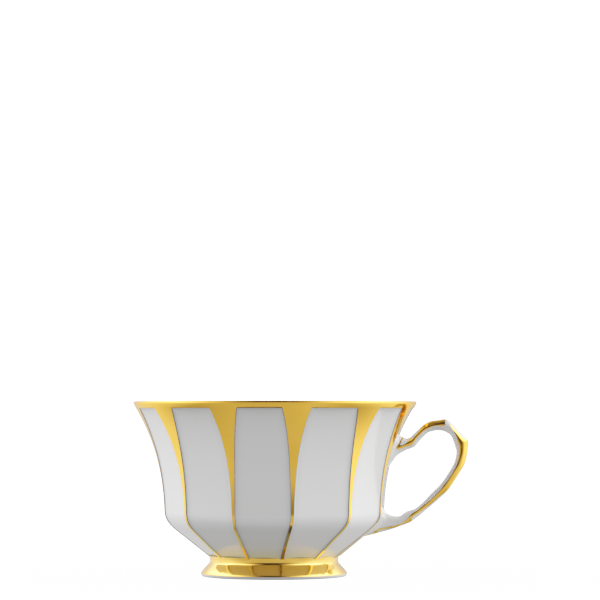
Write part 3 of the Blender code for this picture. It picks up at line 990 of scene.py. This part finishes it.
def table_material():
    """White that glows as bright as the background, except for soft shade near the cup."""
    material, nodes = new_material("table")
    place = nodes.add("ShaderNodeTexCoord")
    length = nodes.add("ShaderNodeVectorMath", operation="LENGTH")
    nodes.link(place.outputs["Object"], length.inputs[0])
    near = nodes.span(length.outputs["Value"], *TABLE_SHADE_REACH, TABLE_SHADE, 0.0, "SMOOTHSTEP")
    glow = nodes.add("ShaderNodeEmission")
    glow.inputs["Strength"].default_value = FILM_WHITE
    matt = nodes.add("ShaderNodeBsdfPrincipled")
    matt.inputs["Base Color"].default_value = (*TABLE_TONE, 1.0)
    matt.inputs["Roughness"].default_value = TABLE_ROUGHNESS
    matt.inputs["Specular IOR Level"].default_value = 0.0
    nodes.end_with_mix("ShaderNodeOutputMaterial", near, glow, matt)
    return material


def make_floor():
    """A plain white table that only the camera sees, with a faint shadow at the foot."""
    work = bmesh.new()
    bmesh.ops.create_circle(work, cap_ends=True, segments=TABLE_SEGMENTS, radius=TABLE_RADIUS)
    mesh = bpy.data.meshes.new("floor")
    work.to_mesh(mesh)
    work.free()
    mesh.materials.append(table_material())
    floor = bpy.data.objects.new("floor", mesh)
    bpy.context.scene.collection.objects.link(floor)
    floor.visible_diffuse = False
    floor.visible_glossy = False
    floor.visible_shadow = False


def light_by_angle(nodes, away, stops):
    """Brightness read off a list of (degrees, brightness), as a socket."""
    brightest = max(level for _, level in stops)
    shares = [(degrees / 180, (level / brightest,) * 3) for degrees, level in stops]
    return nodes.math("MULTIPLY", nodes.ramp(away, shares), brightest)


def blend_light(nodes, elevation, limits, below, above):
    """Fade from one brightness to another between two elevations."""
    start, stop = (math.radians(degrees) for degrees in limits)
    share = nodes.span(elevation, start, stop, 0.0, 1.0, "SMOOTHSTEP")
    gain = nodes.math("MULTIPLY", nodes.math("SUBTRACT", above, below), share)
    return nodes.math("ADD", below, gain)


def background(nodes, strength):
    """A white background of a strength, which may be a number or a socket."""
    node = nodes.add("ShaderNodeBackground")
    node.inputs["Color"].default_value = (*WHITE, 1.0)
    nodes.put(strength, node.inputs["Strength"])
    return node


def make_world():
    """Softboxes on both sides of a dark camera side; the camera itself sees plain white."""
    world = bpy.data.worlds.new("studio")
    bpy.context.scene.world = world
    world.use_nodes = True
    nodes = Nodes(world.node_tree)
    place = nodes.add("ShaderNodeTexCoord")
    split = nodes.add("ShaderNodeSeparateXYZ")
    nodes.link(place.outputs["Generated"], split.inputs[0])
    x, y, z = split.outputs
    azimuth = nodes.math("ARCTAN2", x, nodes.math("MULTIPLY", y, -1.0))
    azimuth = nodes.math("SUBTRACT", azimuth, DARK_AZIMUTH)
    away = nodes.math("DIVIDE", nodes.math("ARCCOSINE", nodes.math("COSINE", azimuth)), math.pi)
    elevation = nodes.math("ARCSINE", z)
    light = light_by_angle(nodes, away, LEVEL_LIGHT)
    for limits, stops in LIGHT_BANDS:
        light = blend_light(nodes, elevation, limits, light, light_by_angle(nodes, away, stops))
    lean = nodes.math("MULTIPLY_ADD", nodes.math("SINE", azimuth), SIDE_LEAN, 1.0)
    around = background(nodes, nodes.math("MULTIPLY", light, lean))
    white = background(nodes, FILM_WHITE)
    path = nodes.add("ShaderNodeLightPath")
    nodes.end_with_mix("ShaderNodeOutputWorld", path.outputs["Is Camera Ray"], around, white)


def set_film():
    """Print the highlights softly, as film does, so that bright gold keeps its colour."""
    view = bpy.context.scene.view_settings
    view.view_transform = "Standard"
    view.use_curve_mapping = True
    mapping = view.curve_mapping
    mapping.white_level = (FILM_WHITE,) * 3
    curve = mapping.curves[COMBINED_CURVE]
    while len(curve.points) < len(FILM_CURVE):
        curve.points.new(0.5, 0.5)
    for point, (seen, printed) in zip(curve.points, FILM_CURVE):
        point.location = (seen / FILM_WHITE, printed)
        point.handle_type = "AUTO_CLAMPED"
    mapping.update()


def make_camera():
    """A long lens just below the rim's height, aimed a little right of the cup and upwards."""
    data = bpy.data.cameras.new("camera")
    data.lens = CAMERA_LENS
    data.sensor_width = CAMERA_SENSOR
    data.clip_start, data.clip_end = CAMERA_CLIP
    camera = bpy.data.objects.new("camera", data)
    bpy.context.scene.collection.objects.link(camera)
    camera.location = (
        AXIS_X + CAMERA_DISTANCE * math.sin(CAMERA_AZIMUTH),
        -CAMERA_DISTANCE * math.cos(CAMERA_AZIMUTH),
        CAMERA_HEIGHT,
    )
    camera.rotation_euler = (math.pi / 2 + CAMERA_PITCH, 0.0, CAMERA_AZIMUTH - CAMERA_YAW)
    bpy.context.scene.camera = camera


def main():
    bowl_porcelain = porcelain_material("bowl_porcelain", bowl_painted_tone)
    foot_porcelain = porcelain_material("foot_porcelain", foot_painted_tone)
    handle_porcelain = porcelain_material("handle_porcelain", plain_tone)
    # Painted shade for the step wall beside the gilding
    outline = edge_shade_material()
    gold = gold_material("gold", GOLD_COAT, STRIPE_PAINTED_LIGHT)
    foot_gold = gold_material("foot_gold", FOOT_COAT, FOOT_PAINTED_LIGHT)
    outside, band, lip = make_bowl(bowl_porcelain, outline)
    make_rim_gilding(gold, outside, band, lip)
    make_foot(foot_porcelain, foot_gold)
    make_handle(handle_porcelain)
    make_handle_gilding(gold)
    make_floor()
    make_world()
    make_camera()
    set_film()


main()
